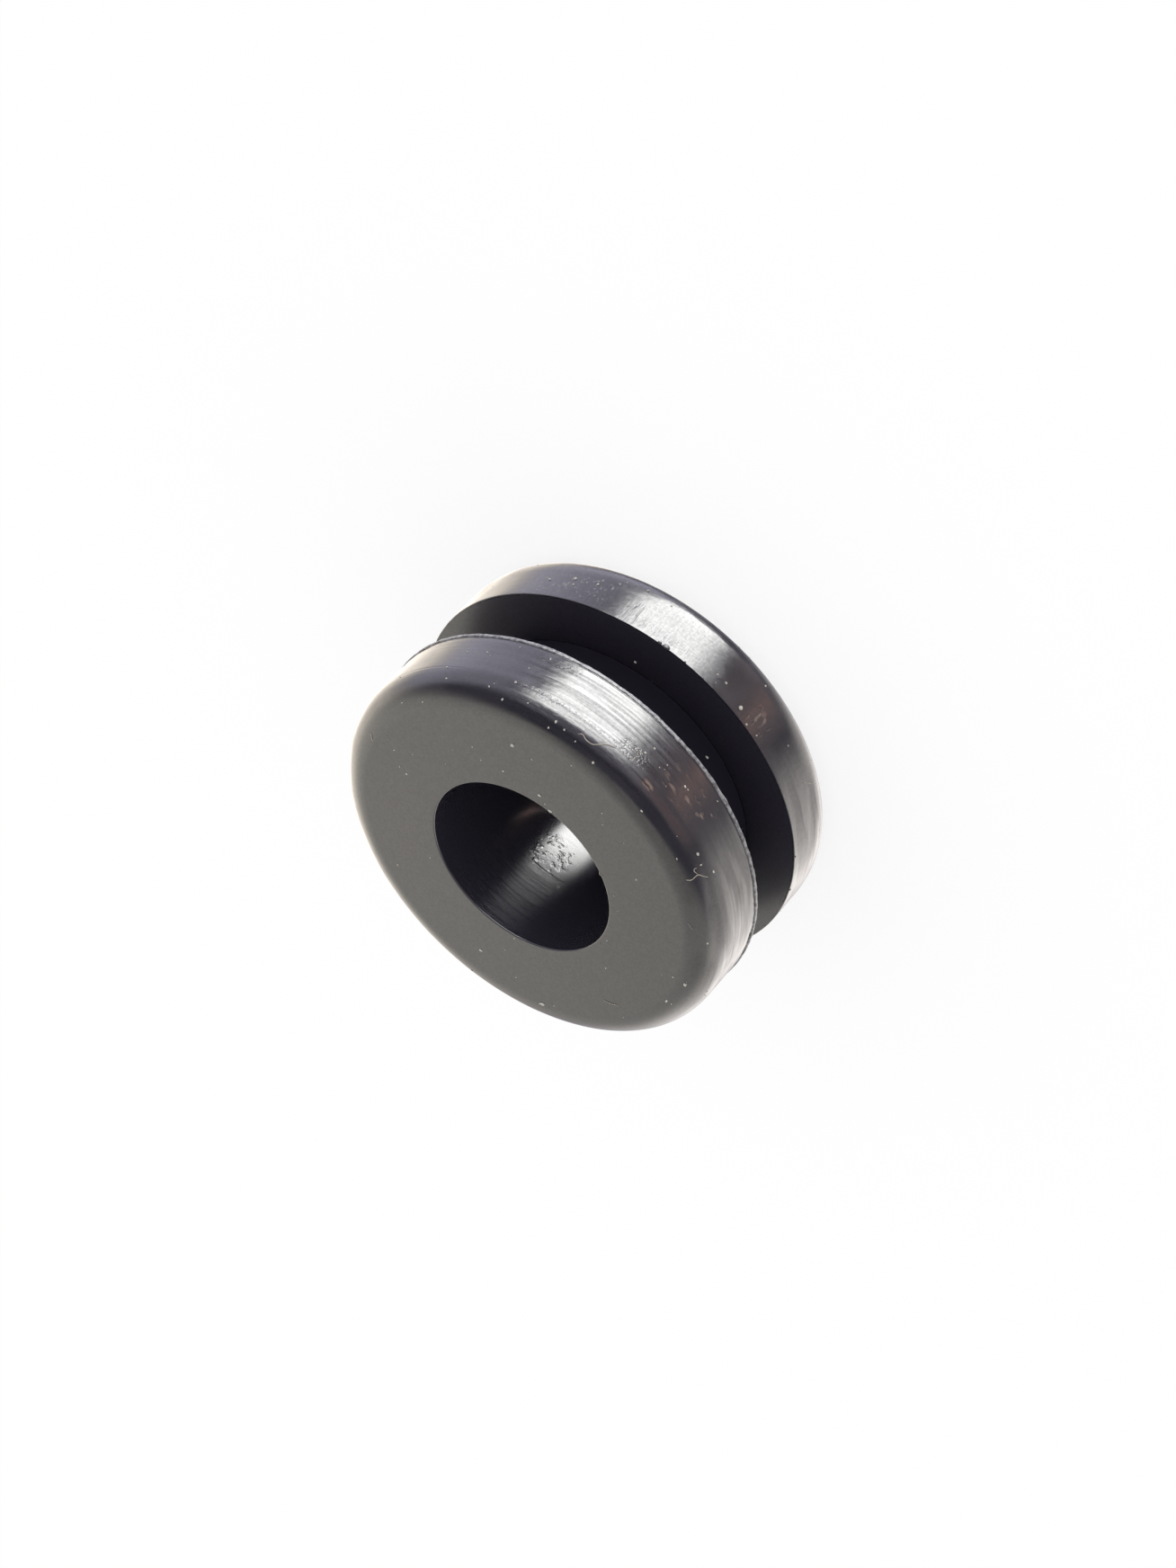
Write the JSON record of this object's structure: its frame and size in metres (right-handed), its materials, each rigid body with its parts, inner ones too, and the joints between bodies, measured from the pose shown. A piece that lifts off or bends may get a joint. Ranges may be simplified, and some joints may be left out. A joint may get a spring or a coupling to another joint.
{
  "type": "rubber plug seal",
  "caption": "Round black rubber seal with two flanges, a groove between them that grips the edge of a hole in a cover, and a plain through bore that holds a plug.",
  "frame": {"origin": "centre of the inner flange's flat face, on which the seal stands", "axes": "+Z along the bore axis, from the inner flange to the outer flange that is on show when the seal is fitted"},
  "size_m": [0.02, 0.02, 0.0104],
  "materials": {
    "rubber": "semi-gloss black moulded rubber"
  },
  "bodies": {
    "root": {"plug_seal": "rubber"}
  },
  "joints": []
}
